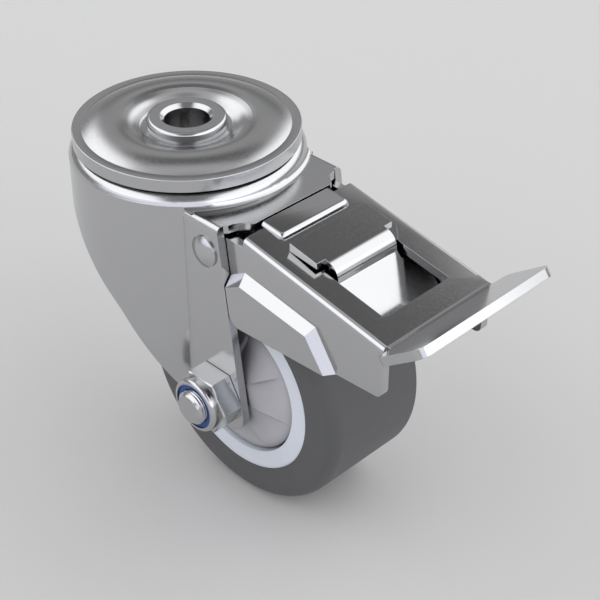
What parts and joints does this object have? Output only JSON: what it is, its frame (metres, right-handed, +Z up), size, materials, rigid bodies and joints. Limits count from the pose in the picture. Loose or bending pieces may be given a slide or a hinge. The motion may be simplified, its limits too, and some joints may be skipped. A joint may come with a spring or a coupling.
{
  "type": "braked swivel caster",
  "caption": "Swivel caster with a bolt hole, a grey rubber wheel in a pressed steel fork and a foot pedal that brakes the wheel.",
  "frame": {"origin": "centre of the bolt hole at the top face of the sleeve's boss", "axes": "+Z up along the swivel axis, +X from the swivel axis to the foot pedal, wheel axle along Y"},
  "size_m": [0.1402, 0.0665, 0.1011],
  "materials": {
    "plated_steel": "bright zinc plate, polished",
    "ball_steel": "ground and polished",
    "plain_steel": "turned",
    "blue_nylon": "moulded",
    "grey_rubber": "satin, moulded",
    "pale_nylon": "moulded",
    "grey_cover": "satin, moulded"
  },
  "bodies": {
    "head": {"head_plate": "plated_steel", "kingpin_sleeve": "plated_steel", "lower_race_cup": "plated_steel", "lock_ring": "plated_steel", "lower_balls": "ball_steel"},
    "fork": {"fork": "plated_steel", "upper_balls": "ball_steel", "pivot_pin": "plated_steel", "axle_bolt": "plated_steel", "axle_nut": "plated_steel", "nut_insert": "blue_nylon", "axle_sleeve": "plain_steel", "axle_spacer_left": "plain_steel", "axle_spacer_right": "plain_steel", "bearing_inner_ring_left": "ball_steel", "bearing_inner_ring_right": "ball_steel", "bearing_balls_left": "ball_steel", "bearing_balls_right": "ball_steel"},
    "wheel": {"tyre": "grey_rubber", "hub": "pale_nylon", "bearing_outer_ring_left": "ball_steel", "bearing_outer_ring_right": "ball_steel", "hub_cover_left": "grey_cover", "hub_cover_right": "grey_cover"},
    "pedal": {"brake_pedal": "plated_steel", "brake_leaf": "plated_steel"}
  },
  "joints": [
    {"name": "swivel", "type": "hinge", "parent": "head", "child": "fork", "pos_m": [0, 0, 0], "axis": [0, 0, 1], "continuous": true},
    {"name": "wheel_spin", "type": "hinge", "parent": "fork", "child": "wheel", "pos_m": [0.0348, 0, -0.0636], "axis": [0, 1, 0], "continuous": true},
    {"name": "pedal_lift", "type": "hinge", "parent": "fork", "child": "pedal", "pos_m": [0.03157, 0, -0.01905], "axis": [0, -1, 0], "range_deg": [0, 5]}
  ]
}
